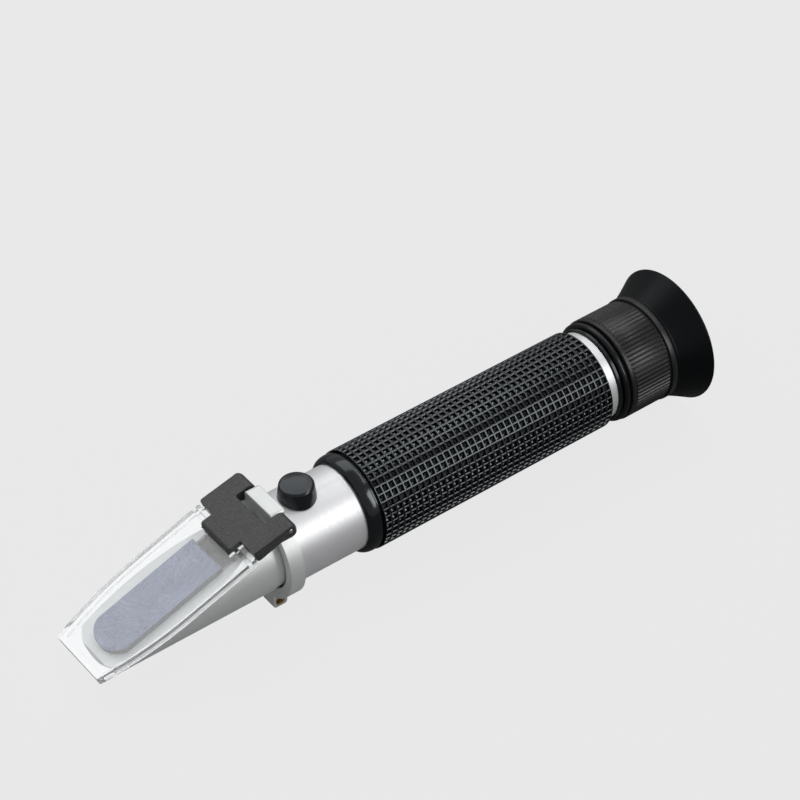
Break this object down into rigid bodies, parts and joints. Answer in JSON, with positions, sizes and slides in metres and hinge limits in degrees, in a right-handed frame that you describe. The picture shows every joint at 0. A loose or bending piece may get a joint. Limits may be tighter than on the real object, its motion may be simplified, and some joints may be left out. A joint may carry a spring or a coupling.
{
  "type": "handheld brix refractometer",
  "caption": "Tube-shaped optical refractometer with a hinged daylight plate over an inclined prism, a calibration screw under a rubber cap, a waffle grip and a focusing eyepiece.",
  "frame": {"origin": "on the optical axis at the rear face of the collar, where a clamp closes on the bare tube", "axes": "+X along the optical axis to the eyepiece, +Z to the hinged cover, Y across"},
  "size_m": [0.1955, 0.0388, 0.0388],
  "materials": {
    "satin_tube": "fine satin, clear anodised",
    "satin_metal": "fine satin",
    "brass": "turned",
    "steel_pin": "bright drawn",
    "spring_steel": "rolled strip",
    "black_moulding": "fine moulded grain",
    "clear_acrylic": "clear, polished",
    "frosted_glass": "ground, blue-grey",
    "optical_glass": "polished",
    "sealant": "cured bead",
    "black_metal": "matt black anodised",
    "black_rubber": "smooth moulded",
    "grip_rubber": "moulded waffle, slightly glossy",
    "black_plastic": "moulded, fine ribs",
    "cup_rubber": "soft, smooth"
  },
  "bodies": {
    "root": {"body_tube": "satin_tube", "collar_ring": "satin_metal", "clamp_screw": "brass", "hinge_pin": "steel_pin", "prism_box": "satin_metal", "measuring_prism": "optical_glass", "prism_seal": "sealant", "prism_retainer": "black_metal", "retainer_screws": "steel_pin", "screw_bush": "brass", "objective_guide": "black_metal", "guide_ring": "black_metal", "leaf_spring": "spring_steel", "light_baffle": "black_metal", "reticle_disc": "optical_glass", "reticle_holder": "black_metal", "reticle_ring": "black_metal", "grip_sleeve": "grip_rubber", "eyepiece_mount": "black_plastic", "o_ring": "black_rubber"},
    "cover": {"hinge_bracket": "black_moulding", "daylight_plate": "clear_acrylic", "diffuser_pad": "frosted_glass"},
    "cap": {"calibration_cap": "black_rubber"},
    "objective": {"objective_cell": "black_metal", "objective_crown": "optical_glass", "objective_flint": "optical_glass", "objective_ring": "black_metal"},
    "screw": {"calibration_screw": "steel_pin"},
    "lens_group": {"lens_carrier": "black_metal", "guide_pin": "steel_pin", "field_lens": "optical_glass", "eye_lens": "optical_glass", "lens_spacer": "black_metal", "eyepiece_ring": "black_metal"},
    "eyepiece": {"focus_ring": "black_plastic", "eyecup": "cup_rubber"}
  },
  "joints": [
    {"name": "cover_hinge", "type": "hinge", "parent": "root", "child": "cover", "pos_m": [-0.0025, 0, 0.01485], "axis": [0, 1, 0], "range_deg": [0, 105]},
    {"name": "cap_lift", "type": "slide", "parent": "root", "child": "cap", "axis": [0, 0, 1], "range_m": [0, 0.008]},
    {"name": "calibration_travel", "type": "slide", "parent": "root", "child": "objective", "axis": [0, 0, 1], "range_m": [-0.00025, 0.00025], "deforming": ["leaf_spring"]},
    {"name": "calibration_turn", "type": "hinge", "parent": "objective", "child": "screw", "pos_m": [0.0078, 0, 0.0115], "axis": [0, 0, 1], "range_deg": [-180, 180]},
    {"name": "focus_travel", "type": "slide", "parent": "root", "child": "lens_group", "axis": [1, 0, 0], "range_m": [0, 0.005]},
    {"name": "focus_turn", "type": "hinge", "parent": "lens_group", "child": "eyepiece", "pos_m": [0.1171, 0, 0], "axis": [1, 0, 0], "range_deg": [0, 300]}
  ],
  "couplings": [
    {"joint": "calibration_turn", "follows": "calibration_travel", "rad_per_m": 12566},
    {"joint": "focus_turn", "follows": "focus_travel", "rad_per_m": 1047.2}
  ]
}
